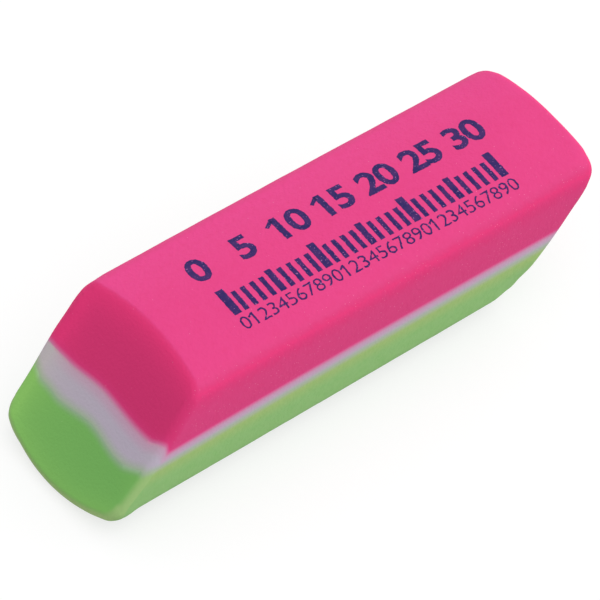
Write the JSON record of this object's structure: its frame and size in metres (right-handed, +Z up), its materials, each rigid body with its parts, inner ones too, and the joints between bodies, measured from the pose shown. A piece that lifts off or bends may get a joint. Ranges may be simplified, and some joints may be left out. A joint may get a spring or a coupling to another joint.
{
  "type": "block eraser",
  "caption": "Block eraser of bonded soft vinyl layers, with a pillowed top and underside and slanting cut ends, for rubbing out pencil marks.",
  "frame": {"origin": "centre of the block's box, on the plane of the flat strip that it rests on", "axes": "+X along the block towards the overhanging end, +Y across it away from the front long side, +Z up from the rest face through the layers"},
  "size_m": [0.0582, 0.018, 0.0137],
  "materials": {
    "pink_vinyl": "matte",
    "white_vinyl": "matte",
    "green_vinyl": "matte",
    "navy_ink": "matte"
  },
  "bodies": {
    "root": {"pink_layer": "pink_vinyl", "white_layer": "white_vinyl", "green_layer": "green_vinyl"}
  },
  "joints": []
}
